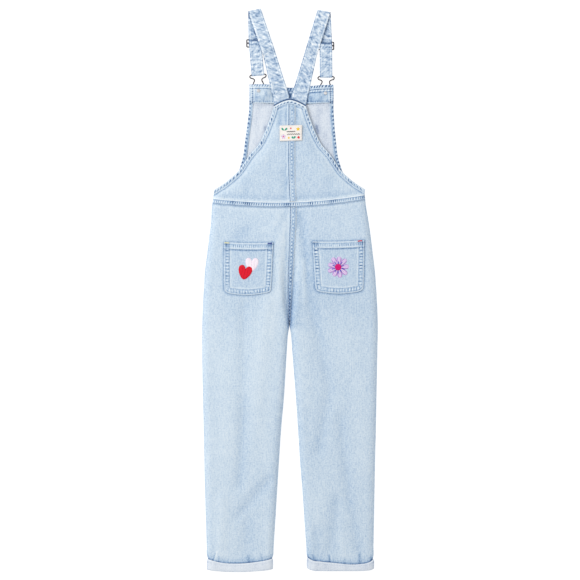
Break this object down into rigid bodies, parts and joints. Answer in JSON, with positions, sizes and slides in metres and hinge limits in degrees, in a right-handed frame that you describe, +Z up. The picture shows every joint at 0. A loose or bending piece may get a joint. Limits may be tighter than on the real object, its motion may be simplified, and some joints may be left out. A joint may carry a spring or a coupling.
{
  "type": "child's denim overalls laid flat, back side up",
  "caption": "Denim overalls laid flat with the back up: legs with turned cuffs, patch pockets, a bib, and straps with sliders, wire hooks and shank buttons.",
  "frame": {"origin": "centre of the bounding box's base, on the surface that the garment lies on", "axes": "+X from the wearer's left leg to the right leg, +Y from the cuffs to the straps, +Z up from the surface to the back of the garment"},
  "size_m": [0.3607, 1.1558, 0.0153],
  "materials": {
    "denim": "light blue washed denim twill",
    "denim_seam": "washed denim, darker at its stitched and puckered seams",
    "denim_inside": "pale wrong side of the denim",
    "strap_denim": "mottled washed denim",
    "hardware": "dark nickel wire",
    "tack": "bright nickel",
    "label_cloth": "cream woven label"
  },
  "bodies": {
    "root": {"back_armhole_hem_left": "denim_seam", "back_armhole_hem_right": "denim_seam", "back_bodice_left": "denim", "back_bodice_right": "denim", "back_centre_seam": "denim_seam", "back_leg_left": "denim", "back_leg_right": "denim", "back_seat_seam": "denim_seam", "back_top_band": "denim_seam", "back_top_facing": "denim_seam", "back_waist_seam": "denim_seam", "bib_facing": "denim_seam", "button_left": "hardware", "button_right": "hardware", "cuff_left": "denim_inside", "cuff_right": "denim_inside", "front_armhole_hem_left": "denim_seam", "front_armhole_hem_right": "denim_seam", "front_bib": "denim_inside", "front_leg_left": "denim", "front_leg_right": "denim", "hook_left": "hardware", "hook_right": "hardware", "label": "label_cloth", "pocket_left": "denim", "pocket_right": "denim", "slider_left": "hardware", "slider_right": "hardware", "strap_left": "strap_denim", "strap_right": "strap_denim", "tack_left": "tack", "tack_right": "tack"}
  },
  "joints": []
}
